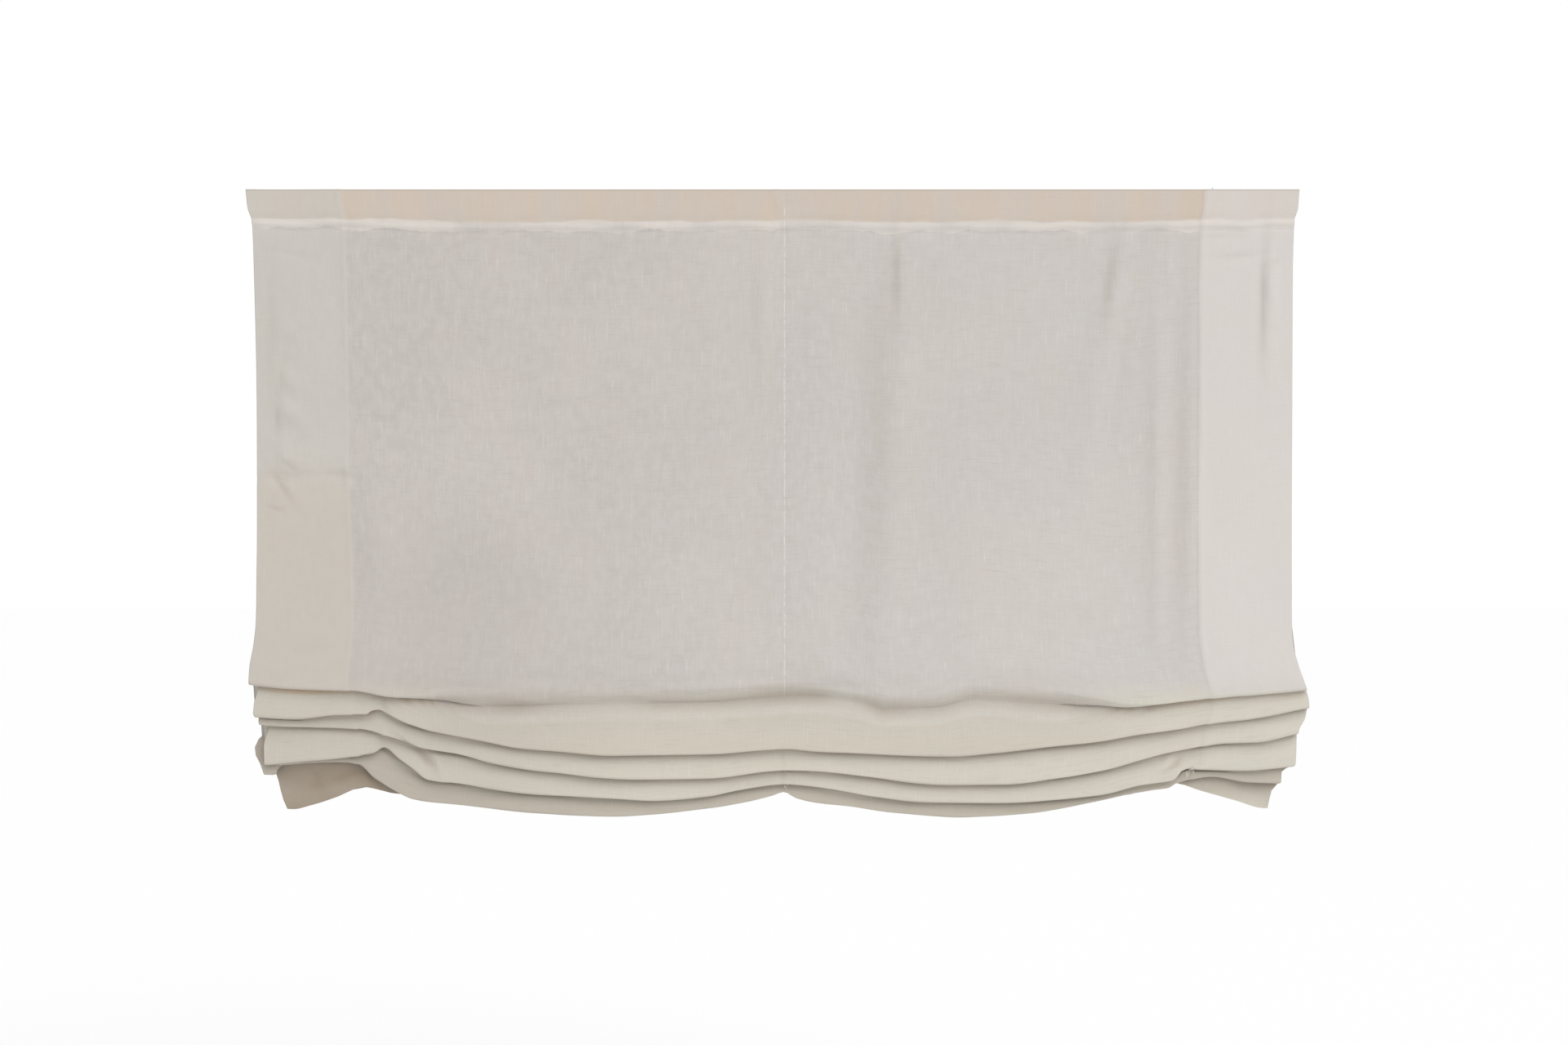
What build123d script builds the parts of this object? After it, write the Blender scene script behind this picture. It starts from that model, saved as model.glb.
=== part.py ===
from build123d import *
from math import atan2, cos, degrees, pi, radians, sin, sqrt, tan
import os

# Relaxed linen roman blind, shown drawn up into five soft folds.
# Origin at the middle of the lath's back face, on the wall. X runs to the viewer's
# right, Z up, and the room is on the -Y side.

# Overall sizes, in millimetres
blind_width = 1200.0
top_edge_z = 14.0
linen_thickness = 1.0
hem_thickness = 2.0
side_hem_width = 116.0
hem_step_width = 3.0
trim_allowance = 6.0

# Head lath and its hook-and-loop tapes
lath_end_inset = 7.0
lath_depth = 45.0
lath_height = 28.0
lath_edge_radius = 1.5
tape_height = 20.0
tape_thickness = 1.2
seat_gap = 0.2

# Lift lines
lift_left_inset = 143.0
lift_middle_offset = 13.0
lift_right_inset = 138.0
cord_diameter = 1.8
cord_lane_pitch = 2.1
cord_to_eye = 0.1
cord_line_y = -39.0
ring_diameter = 15.0
ring_wire = 2.0
ring_pitch = 22.0
panel_ring_pitch = 185.0
panel_ring_rows = 2
ring_clearance = 0.3
ring_sides = 16
ring_chamfer_share = 0.5

# Folds: every layer of cloth in the stack lies one pitch in front of the next
fold_count = 5
layer_pitch = 4.4
lip_radius = 2.0
crest_radius = 1.7
knee_radius = 20.0
knee_rise = 25.0
panel_bend_rise = 90.0
panel_bend_radius = 150.0
sag_power = 0.6
edge_power = 0.7
swag_spans = 7
turn_chords = 2

# Lower edge of each lip and of the bottom hem, as heights at the left edge, left lift
# line, left swag, middle lift line, right swag, right lift line and right edge
lip_levels = (
    (-548.0, -560.0, -571.0, -560.0, -575.0, -570.0, -554.0),
    (-583.0, -579.0, -628.0, -621.0, -629.0, -598.0, -577.0),
    (-594.0, -603.0, -657.0, -646.0, -662.0, -624.0, -605.0),
    (-639.0, -628.0, -681.0, -662.0, -683.0, -655.0, -642.0),
    (-645.0, -650.0, -700.0, -673.0, -700.0, -662.0, -658.0),
)
tail_levels = (-694.0, -664.0, -688.0, -664.0, -688.0, -660.0, -692.0)

# Side outlines of the hanging cloth, as how far it is drawn in from the full width, and
# height
left_outline = (
    (0.0, 14.0), (8.0, -24.0), (14.0, -330.0), (18.0, -476.0), (12.0, -540.0),
    (18.0, -585.0), (26.0, -640.0), (46.0, -692.0),
)
right_outline = (
    (0.0, 14.0), (7.0, -24.0), (10.0, -330.0), (15.0, -485.0), (3.0, -545.0),
    (-4.0, -570.0), (9.0, -640.0), (34.0, -692.0),
)

# Wall brackets
bracket_inset = 89.0
bracket_width = 20.0
bracket_thickness = 2.0
bracket_reach = 38.0
bracket_drop = 44.0
bracket_bend_radius = 3.0
wall_hole_radius = 2.25
wall_hole_pitch = 18.0
wall_hole_offset = 12.0
lath_screw_radius = 1.75
lath_screw_length = 25.0
long_screw_length = 35.0
lath_screw_head_radius = 3.5
lath_screw_head_height = 1.8
back_screw_y = -12.0
front_screw_y = -32.0
point_length = 5.0
wood_clearance = 0.3
screw_clearance = 0.2

# Screw eyes under the lath
eye_wire = 2.0
eye_inner_radius = 4.0
eye_neck = 2.0
eye_shank_length = 16.0
eye_to_lift_line = 4.0
bottom_ring_rise = 13.0
cord_loop_radius = 2.6
knot_radius = 1.7

# Cord lock at the right end
lock_inset = 43.0
lock_inner_width = 10.0
lock_wall = 1.5
lock_length = 36.0
lock_height = 31.0
lock_flange_length = 60.0
lock_flange_radius = 3.0
lock_corner_radius = 8.0
lock_screw_inset = 5.5
roller_radius = 3.4
roller_rim = 0.5
roller_groove_clearance = 0.1
cam_radius = 7.0
cam_offset = 3.8
cam_lean = 20.0
cam_tooth_count = 9
cam_tooth_depth = 0.6
cam_tooth_angle = 11.0
pin_radius = 1.25
pin_head_radius = 2.2
pin_head_height = 0.8
pin_fit = 0.05
running_clearance = 0.06
side_clearance = 0.3
cord_to_roller = 0.1
cord_to_cam = 0.15
cord_end_past_roller = 2.0
lock_screw_radius = 1.5
lock_screw_length = 14.0
lock_screw_head_radius = 2.8
lock_screw_head_height = 1.5

# Places worked out from the sizes above
half_width = blind_width / 2
lath_length = blind_width - 2 * lath_end_inset
hem_inner_x = half_width - side_hem_width
lift_left_x = -half_width + lift_left_inset
lift_middle_x = lift_middle_offset
lift_right_x = half_width - lift_right_inset
bracket_x = lath_length / 2 - bracket_inset
lock_x = lath_length / 2 - lock_inset
lath_bottom_z = -lath_height / 2
tape_front_y = -lath_depth - 2 * tape_thickness
cloth_back_y = tape_front_y - seat_gap
cloth_mid_y = cloth_back_y - hem_thickness / 2
ring_radius = ring_diameter / 2
ring_y = cloth_mid_y + linen_thickness / 2 + ring_clearance + ring_radius
cord_radius = cord_diameter / 2
eye_radius = eye_inner_radius + eye_wire / 2
eye_z = lath_bottom_z - eye_neck - eye_radius - eye_wire / 2
lane_room = eye_inner_radius - cord_radius - cord_to_eye
cord_run_z = eye_z - sqrt(lane_room**2 - cord_lane_pitch**2)
lift_lines = {"left": lift_left_x, "middle": lift_middle_x, "right": lift_right_x}
lane_y = {
    "left": cord_line_y - cord_lane_pitch,
    "middle": cord_line_y,
    "right": cord_line_y + cord_lane_pitch,
}
roller_z = cord_run_z + cord_radius + cord_to_roller + roller_radius
cam_reach = cam_offset * cos(radians(cam_lean)) + cam_radius
cam_pivot_z = cord_run_z - cord_radius - cord_to_cam - cam_reach
bracket_screws_at = (
    (-bracket_x, back_screw_y, lath_screw_length),
    (-bracket_x, front_screw_y, lath_screw_length),
    (bracket_x, back_screw_y, lath_screw_length),
    (bracket_x, front_screw_y, long_screw_length),
)
lock_screw_x = (
    lock_x - lock_flange_length / 2 + lock_screw_inset,
    lock_x + lock_flange_length / 2 - lock_screw_inset,
)

os.makedirs("parts", exist_ok=True)


def save(piece, name):
    piece.part.label = name
    export_step(piece.part, f"parts/{name}.step")


def level_at(x, levels):
    # Height of a fold line: straight between lift lines, less a rounded sag
    left_edge, left_lift, left_low, middle, right_low, right_lift, right_edge = levels
    if x <= lift_left_x:
        share = (lift_left_x - x) / (lift_left_x + half_width)
        return left_lift + (left_edge - left_lift) * share**edge_power
    if x >= lift_right_x:
        share = (x - lift_right_x) / (half_width - lift_right_x)
        return right_lift + (right_edge - right_lift) * share**edge_power
    if x < lift_middle_x:
        start_x, end_x, start, low, end = lift_left_x, lift_middle_x, left_lift, left_low, middle
    else:
        start_x, end_x, start, low, end = lift_middle_x, lift_right_x, middle, right_low, right_lift
    share = (x - start_x) / (end_x - start_x)
    sag = (start + end) / 2 - low
    return start + (end - start) * share - sag * abs(sin(pi * share)) ** sag_power


def knee_at(x):
    # Below this height all layers hang straight down
    return level_at(x, lip_levels[0]) + knee_rise


def crest_at(x, fold):
    # Height of the top of fold 1 to fold_count
    return knee_at(x) + (fold_count - fold) * ring_pitch


def thickness_at(x):
    # Single cloth in the middle, doubled in the two side hems
    step = (abs(x) - hem_inner_x) / hem_step_width
    return linen_thickness + (hem_thickness - linen_thickness) * min(1.0, max(0.0, step))


def layer_y(layer):
    # Layer 0 is the tail, the one nearest the wall
    return cloth_mid_y - layer * layer_pitch


def middle_line(x):
    # Corners of the cloth's middle line in the Y-Z plane at x, and each corner's radius
    half = thickness_at(x) / 2
    knee_z = knee_at(x)
    points = [(cloth_mid_y, top_edge_z)]
    radii = []

    def corner(y, z, radius):
        points.append((y, z))
        radii.append(radius)

    lean = atan2(2 * layer_pitch, ring_pitch)
    overhang = crest_radius * (tan((pi / 2 + lean) / 2) - 1)
    corner(cloth_mid_y, crest_at(x, 1) + panel_bend_rise, panel_bend_radius)
    for fold in range(1, fold_count + 1):
        front_layer = 2 * (fold_count - fold + 1)
        lip_z = level_at(x, lip_levels[fold - 1]) + half
        corner(layer_y(front_layer), knee_z, knee_radius)
        corner(layer_y(front_layer), lip_z, lip_radius)
        corner(layer_y(front_layer - 1), lip_z, lip_radius)
        if fold < fold_count:
            corner(layer_y(front_layer - 1), knee_z, knee_radius)
        crest_back_y = layer_y(0) + (overhang if fold < fold_count else 0.0)
        corner(layer_y(1), crest_at(x, fold), crest_radius)
        corner(crest_back_y, crest_at(x, fold), crest_radius)
    points.append((layer_y(0), level_at(x, tail_levels)))
    return points, radii


def offset_corners(points, distance):
    # Mitred offset of an open line, to its left when distance is positive
    moved = []
    for index, (y, z) in enumerate(points):
        normals = []
        for start, end in ((index - 1, index), (index, index + 1)):
            if start < 0 or end >= len(points):
                continue
            dy = points[end][0] - points[start][0]
            dz = points[end][1] - points[start][1]
            length = sqrt(dy * dy + dz * dz)
            normals.append((-dz / length, dy / length))
        ny = sum(normal[0] for normal in normals)
        nz = sum(normal[1] for normal in normals)
        scale = distance * len(normals) / (ny * ny + nz * nz)
        moved.append((y + ny * scale, z + nz * scale))
    return moved


def turn_sign(points, index):
    # +1 where the line turns left at a corner, -1 where it turns right
    (ay, az), (by, bz), (cy, cz) = points[index - 1], points[index], points[index + 1]
    return 1 if (by - ay) * (cz - bz) - (bz - az) * (cy - by) > 0 else -1


def rounded_outline(points, radii):
    # Closed outline with each corner rounded to its radius. A turn is cut into short
    # flat chords, which keeps the long narrow facets of the cloth few
    outline = []
    for index, (corner, radius) in enumerate(zip(points, radii)):
        here = Vector(*corner)
        if radius == 0:
            outline.append(here)
            continue
        before = (Vector(*points[index - 1]) - here).normalized()
        after = (Vector(*points[(index + 1) % len(points)]) - here).normalized()
        half_angle = radians(before.get_angle(after)) / 2
        centre = here + (before + after).normalized() * (radius / sin(half_angle))
        start = here + before * (radius / tan(half_angle)) - centre
        end = here + after * (radius / tan(half_angle)) - centre
        turn = pi - 2 * half_angle
        for step in range(turn_chords + 1):
            share = step / turn_chords
            spoke = start * sin((1 - share) * turn) + end * sin(share * turn)
            outline.append(centre + spoke * (1 / sin(turn)))
    return outline


def cloth_section(x):
    # Closed outline of the cloth cut at x: out along one side and back along the other
    points, radii = middle_line(x)
    half = thickness_at(x) / 2
    left_radii = []
    right_radii = []
    for index, radius in enumerate(radii, start=1):
        change = half * turn_sign(points, index)
        left_radii.append(radius - change)
        right_radii.append(radius + change)
    left_side = offset_corners(points, half)
    right_side = offset_corners(points, -half)
    outline = left_side + right_side[::-1]
    outline_radii = [0.0] + left_radii + [0.0, 0.0] + right_radii[::-1] + [0.0]
    corners = rounded_outline(outline, outline_radii)
    edges = [Line(corners[index - 1], corner) for index, corner in enumerate(corners)]
    with BuildSketch(Plane.YZ.offset(x)) as section:
        make_face(edges)
    return section.sketch


# The cloth is one piece from the heading to the bottom hem
trim_x = half_width + trim_allowance
hem_middle_x = (half_width + hem_inner_x) / 2
stations = [-trim_x, -hem_middle_x, -hem_inner_x - hem_step_width, -hem_inner_x]
for start_x, end_x in ((lift_left_x, lift_middle_x), (lift_middle_x, lift_right_x)):
    for span in range(swag_spans):
        stations.append(start_x + (end_x - start_x) * span / swag_spans)
stations += [lift_right_x, hem_inner_x, hem_inner_x + hem_step_width, hem_middle_x, trim_x]
below_cloth_z = min(min(levels) for levels in lip_levels + (tail_levels,)) - trim_x
in_front_y = -lath_depth - 3 * fold_count * layer_pitch

cloth_sections = [cloth_section(x) for x in stations]
with BuildPart() as linen_panel:
    loft(cloth_sections, ruled=True, clean=False)
    with BuildSketch(Plane.XZ):
        with BuildLine():
            Polyline(
                *[(inset - half_width, z) for inset, z in left_outline],
                (-hem_inner_x, below_cloth_z),
                (hem_inner_x, below_cloth_z),
                *[(half_width - inset, z) for inset, z in reversed(right_outline)],
                close=True,
            )
        make_face()
    extrude(amount=-in_front_y, mode=Mode.INTERSECT, clean=False)
save(linen_panel, "linen_panel")


# Head lath, with pilot holes in its underside
def bore_up(x, y, radius, depth):
    with Locations(Plane((x, y, lath_bottom_z), x_dir=(1, 0, 0), z_dir=(0, 0, -1))):
        Hole(radius, depth)


with BuildPart() as lath:
    with Locations((0, -lath_depth / 2, 0)):
        Box(lath_length, lath_depth, lath_height)
    fillet(lath.edges().filter_by(Axis.X), lath_edge_radius)
    for x, y, length in bracket_screws_at:
        depth = min(length - bracket_thickness + wood_clearance, lath_height + 1)
        bore_up(x, y, lath_screw_radius + wood_clearance, depth)
    for x in lift_lines.values():
        bore_up(
            x + eye_to_lift_line,
            cord_line_y,
            eye_wire / 2 + wood_clearance,
            eye_shank_length + wood_clearance,
        )
    for x in lock_screw_x:
        depth = lock_screw_length - lock_wall + wood_clearance
        bore_up(x, cord_line_y, lock_screw_radius + wood_clearance, depth)
save(lath, "lath")

for name, back_y in (("hook_tape", -lath_depth), ("loop_tape", -lath_depth - tape_thickness)):
    with BuildPart() as tape:
        with Locations((0, back_y - tape_thickness / 2, 0)):
            Box(lath_length, tape_thickness, tape_height)
    save(tape, name)


# Wall brackets: an angle under the lath, screwed up into it and back to the wall
def wall_bracket(side):
    with BuildPart() as bracket:
        with BuildSketch(Plane.YZ.offset(side * bracket_x)):
            with BuildLine():
                FilletPolyline(
                    (0, lath_bottom_z),
                    (-bracket_reach, lath_bottom_z),
                    (-bracket_reach, lath_bottom_z - bracket_thickness),
                    (-bracket_thickness, lath_bottom_z - bracket_thickness),
                    (-bracket_thickness, lath_bottom_z - bracket_drop),
                    (0, lath_bottom_z - bracket_drop),
                    radius=(bracket_bend_radius, 0, 0, bracket_bend_radius - bracket_thickness, 0, 0),
                    close=True,
                )
            make_face()
        extrude(amount=bracket_width / 2, both=True)
        free_corners = bracket.edges().filter_by(Axis.Z).group_by(Axis.Y)[0]
        low_corners = bracket.edges().filter_by(Axis.Y).group_by(Axis.Z)[0]
        fillet(free_corners + low_corners, bracket_bend_radius)
        for y in (back_screw_y, front_screw_y):
            with Locations((side * bracket_x, y, lath_bottom_z)):
                Hole(lath_screw_radius + screw_clearance, 2 * bracket_thickness)
        for step in range(2):
            z = lath_bottom_z - wall_hole_offset - step * wall_hole_pitch
            with Locations(
                Plane((side * bracket_x, 0, z), x_dir=(1, 0, 0), z_dir=(0, 1, 0))
            ):
                Hole(wall_hole_radius, 2 * bracket_thickness)
    return bracket


save(wall_bracket(-1), "wall_bracket_left")
save(wall_bracket(1), "wall_bracket_right")


def wood_screw(radius, length, head_radius, head_height):
    # Screw standing on its head's seat: bevelled pan head below, point at the top
    with BuildPart() as screw:
        with BuildSketch(Plane.XZ):
            with BuildLine():
                Polyline(
                    (0, -head_height),
                    (0, length),
                    (radius, length - point_length),
                    (radius, 0),
                    (head_radius, 0),
                    (head_radius, -head_height / 2),
                    (head_radius - head_height / 2, -head_height),
                    close=True,
                )
            make_face()
        revolve(axis=Axis.Z)
    return screw.part


lath_screw_solids = {
    length: wood_screw(lath_screw_radius, length, lath_screw_head_radius, lath_screw_head_height)
    for length in (lath_screw_length, long_screw_length)
}
with BuildPart() as bracket_screws:
    for x, y, length in bracket_screws_at:
        with Locations((x, y, lath_bottom_z - bracket_thickness)):
            add(lath_screw_solids[length])
save(bracket_screws, "bracket_screws")

def small_ring(plane, line_radius, wire_radius):
    # Moulded ring of many flats about the plane's origin, with its edges taken off
    with BuildPart(plane) as ring:
        with BuildSketch(plane):
            RegularPolygon(line_radius + wire_radius, ring_sides)
            RegularPolygon(line_radius - wire_radius, ring_sides, mode=Mode.SUBTRACT)
        extrude(amount=wire_radius, both=True)
        rims = ring.faces().filter_by(lambda face: abs(face.normal_at().dot(plane.z_dir)) > 0.9)
        chamfer(rims.edges(), wire_radius * ring_chamfer_share)
    return ring.part


# Screw eyes that lead the lift cords along under the lath
for side, x in lift_lines.items():
    eye_plane = Plane((x + eye_to_lift_line, cord_line_y, eye_z), (0, 1, 0), (1, 0, 0))
    eye_ring = small_ring(eye_plane, eye_radius, eye_wire / 2)
    with BuildPart() as screw_eye:
        add(eye_ring)
        with BuildSketch(Plane.XZ.offset(-cord_line_y)):
            with BuildLine():
                eye_x = x + eye_to_lift_line
                shank_top = lath_bottom_z + eye_shank_length
                Polyline(
                    (eye_x, eye_z + eye_radius),
                    (eye_x + eye_wire / 2, eye_z + eye_radius),
                    (eye_x + eye_wire / 2, shank_top - point_length),
                    (eye_x, shank_top),
                    close=True,
                )
            make_face()
        revolve(axis=Axis((eye_x, cord_line_y, 0), (0, 0, 1)))
    save(screw_eye, f"screw_eye_{side}")

# Rings sewn to the back of the cloth: flat ones that the cord runs through, and an
# upright one near the bottom hem that it is tied to
for side, x in lift_lines.items():
    ring_heights = [
        crest_at(x, 1) + panel_ring_pitch * row for row in range(panel_ring_rows, 0, -1)
    ]
    ring_heights += [crest_at(x, fold) - crest_radius for fold in range(1, fold_count + 1)]
    for number, z in enumerate(ring_heights, start=1):
        flat_plane = Plane((x, ring_y, z), (0, 1, 0), (0, 0, 1))
        flat_ring = small_ring(flat_plane, ring_radius - ring_wire / 2, ring_wire / 2)
        with BuildPart() as ring:
            add(flat_ring)
        save(ring, f"ring_{side}_{number}")
    bottom_ring_z = level_at(x, tail_levels) + bottom_ring_rise
    upright_plane = Plane((x, ring_y, bottom_ring_z), (0, 1, 0), (1, 0, 0))
    upright_ring = small_ring(upright_plane, ring_radius - ring_wire / 2, ring_wire / 2)
    with BuildPart() as bottom_ring:
        add(upright_ring)
    save(bottom_ring, f"ring_{side}_bottom")

    # Lift cord: looped round the bottom ring and knotted, up to its screw eye, then
    # along under the lath into the cord lock
    lane = lane_y[side]
    ring_line = ring_radius - ring_wire / 2
    tie_z = bottom_ring_z + sqrt(ring_line**2 - (lane - ring_y) ** 2)
    ring_slope = atan2(lane - ring_y, tie_z - bottom_ring_z)
    knot_z = tie_z + cord_loop_radius + cord_radius
    along_ring = (0, cos(ring_slope), -sin(ring_slope))
    tie_plane = Plane((x, lane, tie_z), (1, 0, 0), along_ring)
    tie_loop = small_ring(tie_plane, cord_loop_radius, cord_radius)
    with BuildPart() as lift_cord:
        with BuildLine():
            FilletPolyline(
                (x, lane, knot_z),
                (x, lane, cord_run_z),
                (lock_x + cord_end_past_roller, lane, cord_run_z),
                radius=eye_to_lift_line,
            )
        with BuildSketch(Plane((x, lane, knot_z), x_dir=(1, 0, 0), z_dir=(0, 0, 1))):
            Circle(cord_radius)
        sweep()
        with Locations((x, lane, knot_z)):
            Cylinder(knot_radius, 2 * knot_radius)
        add(tie_loop)
    save(lift_cord, f"lift_cord_{side}")

# Cord lock: a folded steel channel, a grooved roller and a toothed cam
lock_plane = Plane.XZ.offset(-cord_line_y)
lock_outer_width = lock_inner_width + 2 * lock_wall

with BuildPart() as lock_housing:
    with Locations((lock_x, cord_line_y, lath_bottom_z - lock_wall / 2)):
        Box(lock_flange_length, lock_outer_width, lock_wall)
    fillet(lock_housing.edges().filter_by(Axis.Z), lock_flange_radius)
    with BuildSketch(lock_plane) as cheek:
        with Locations((lock_x, lath_bottom_z - lock_height / 2)):
            Rectangle(lock_length, lock_height)
        fillet(cheek.vertices().group_by(Axis.Y)[0], lock_corner_radius)
    extrude(amount=lock_outer_width / 2, both=True)
    with Locations((lock_x, cord_line_y, lath_bottom_z - lock_wall - lock_height / 2)):
        Box(lock_length + 2, lock_inner_width, lock_height, mode=Mode.SUBTRACT)
    with BuildSketch(lock_plane):
        with Locations((lock_x, roller_z), (lock_x, cam_pivot_z)):
            Circle(pin_radius + pin_fit)
    extrude(amount=lock_outer_width, both=True, mode=Mode.SUBTRACT)
    with Locations(*[(x, cord_line_y, lath_bottom_z) for x in lock_screw_x]):
        Hole(lock_screw_radius + screw_clearance, 2 * lock_wall)
save(lock_housing, "lock_housing")

roller_half_width = lock_inner_width / 2 - side_clearance
groove_half_width = cord_radius + roller_groove_clearance
with BuildPart() as guide_roller:
    with BuildSketch(Plane.YZ.offset(lock_x)):
        with BuildLine():
            profile = [(cord_line_y - roller_half_width, roller_z + roller_radius + roller_rim)]
            for lane in sorted(lane_y.values()):
                profile += [
                    (lane - groove_half_width, roller_z + roller_radius + roller_rim),
                    (lane - groove_half_width / 2, roller_z + roller_radius),
                    (lane + groove_half_width / 2, roller_z + roller_radius),
                    (lane + groove_half_width, roller_z + roller_radius + roller_rim),
                ]
            Polyline(
                *profile,
                (cord_line_y + roller_half_width, roller_z + roller_radius + roller_rim),
                (cord_line_y + roller_half_width, roller_z + pin_radius + running_clearance),
                (cord_line_y - roller_half_width, roller_z + pin_radius + running_clearance),
                close=True,
            )
        make_face()
    revolve(axis=Axis((lock_x, 0, roller_z), (0, 1, 0)))
save(guide_roller, "guide_roller")

with BuildPart() as lock_cam:
    with BuildSketch(lock_plane):
        cam_x = lock_x + cam_offset * sin(radians(cam_lean))
        cam_z = cam_pivot_z + cam_offset * cos(radians(cam_lean))
        with Locations((cam_x, cam_z)):
            Circle(cam_radius)
            arc = cam_tooth_angle * (cam_tooth_count - 1)
            with PolarLocations(
                cam_radius, cam_tooth_count, 90 - arc / 2, arc, endpoint=True
            ):
                RegularPolygon(cam_tooth_depth, 4, mode=Mode.SUBTRACT)
        with Locations((lock_x, cam_pivot_z)):
            Circle(pin_radius + running_clearance, mode=Mode.SUBTRACT)
    extrude(amount=lock_inner_width / 2 - side_clearance, both=True)
save(lock_cam, "lock_cam")


def lock_pin(z):
    # Headed pin through both cheeks of the channel, with a head at each end
    with BuildPart() as pin:
        with BuildSketch(lock_plane):
            with Locations((lock_x, z)):
                Circle(pin_radius)
        extrude(amount=lock_outer_width / 2, both=True)
        for side in (-1, 1):
            head_y = cord_line_y + side * (lock_outer_width + pin_head_height) / 2
            with Locations(Location((lock_x, head_y, z), (90, 0, 0))):
                Cylinder(pin_head_radius, pin_head_height)
    return pin


save(lock_pin(roller_z), "roller_pin")
save(lock_pin(cam_pivot_z), "cam_pin")

lock_screw = wood_screw(
    lock_screw_radius, lock_screw_length, lock_screw_head_radius, lock_screw_head_height
)
with BuildPart() as lock_screws:
    for x in lock_screw_x:
        with Locations((x, cord_line_y, lath_bottom_z - lock_wall)):
            add(lock_screw)
save(lock_screws, "lock_screws")
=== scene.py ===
import math
import bpy
import numpy as np
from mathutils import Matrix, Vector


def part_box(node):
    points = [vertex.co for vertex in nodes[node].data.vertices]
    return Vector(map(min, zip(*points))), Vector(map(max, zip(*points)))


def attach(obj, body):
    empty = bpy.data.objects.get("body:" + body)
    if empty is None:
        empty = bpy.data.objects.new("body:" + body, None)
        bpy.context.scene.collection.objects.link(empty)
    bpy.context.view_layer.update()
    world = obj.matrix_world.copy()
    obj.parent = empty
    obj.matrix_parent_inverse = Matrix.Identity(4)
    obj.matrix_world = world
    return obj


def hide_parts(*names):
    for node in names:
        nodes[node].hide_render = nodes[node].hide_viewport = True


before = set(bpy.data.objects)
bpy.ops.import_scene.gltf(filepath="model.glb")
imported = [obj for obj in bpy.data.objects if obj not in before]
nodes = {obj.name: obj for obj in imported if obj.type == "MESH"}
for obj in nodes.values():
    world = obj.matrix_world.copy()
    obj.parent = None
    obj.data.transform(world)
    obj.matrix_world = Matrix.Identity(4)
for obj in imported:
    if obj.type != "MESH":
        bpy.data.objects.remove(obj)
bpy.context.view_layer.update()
scene = bpy.context.scene
mm = 0.001


def linearColor(hexValue):
    # sRGB hex turned to linear, channel by channel
    channels = [int(hexValue[i:i + 2], 16) / 255 for i in (1, 3, 5)]
    return tuple(c / 12.92 if c <= 0.04045 else ((c + 0.055) / 1.055) ** 2.4 for c in channels) + (1.0,)


def feed(tree, node, **links):
    # sets or links a node's inputs: by name, with a low line for each blank, or by i and the input's number
    for key, value in links.items():
        byNumber = key[0] == "i" and key[1:].isdigit()
        socket = node.inputs[int(key[1:]) if byNumber else key.replace("_", " ")]
        if isinstance(value, bpy.types.NodeSocket):
            tree.links.new(value, socket)
        else:
            socket.default_value = value


def addNode(tree, kind, settings=None, out=0, **links):
    # adds one node with its settings and links, and gives back one of its outputs
    node = tree.nodes.new(kind)
    for key, value in (settings or {}).items():
        setattr(node, key, value)
    feed(tree, node, **links)
    return node.outputs[out]


def newMaterial(name):
    # a new material with its node tree and its main shader
    material = bpy.data.materials.new(name)
    material.use_nodes = True
    tree = material.node_tree
    return material, tree, tree.nodes["Principled BSDF"]


def smoothStep(value, low, high):
    # 0 below low, 1 above high, and a smooth S between them
    share = np.clip((value - low) / (high - low), 0, 1)
    return share * share * (3 - 2 * share)


def bump(value, centre, width):
    # rounded hill of height 1
    return np.exp(-((value - centre) / width) ** 2)


def softNoise(across, along, sizeAcross, sizeAlong, seed):
    # random heights on a coarse grid, joined by smooth curves: value noise in two directions
    count = 256
    grid = np.random.default_rng(seed).uniform(-1, 1, (count, count))
    a = across / sizeAcross + count / 4
    b = along / sizeAlong + count / 4
    ai, bi = np.floor(a).astype(int), np.floor(b).astype(int)
    fa, fb = smoothStep(a - ai, 0, 1), smoothStep(b - bi, 0, 1)
    height = lambda i, j: grid[(ai + i) % count, (bi + j) % count]
    low = height(0, 0) * (1 - fa) + height(1, 0) * fa
    high = height(0, 1) * (1 - fa) + height(1, 1) * fa
    return low * (1 - fb) + high * fb


def smoothCurve(x, points):
    # smooth curve through given points: cubic pieces with limited slopes
    px, py = np.array(points, float).T
    step = np.diff(px)
    slope = np.diff(py) / step
    before, after = slope[:-1], slope[1:]
    inner = np.where(before * after > 0, 2 * before * after / (before + after + 1e-12), 0)
    tangent = np.concatenate(([slope[0]], inner, [slope[-1]]))
    x = np.clip(x, px[0], px[-1])
    i = np.clip(np.searchsorted(px, x) - 1, 0, len(px) - 2)
    t = (x - px[i]) / step[i]
    h = step[i]
    return ((1 + 2 * t) * (1 - t) ** 2 * py[i] + t * (1 - t) ** 2 * h * tangent[i]
            + t * t * (3 - 2 * t) * py[i + 1] + t * t * (t - 1) * h * tangent[i + 1])


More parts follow.
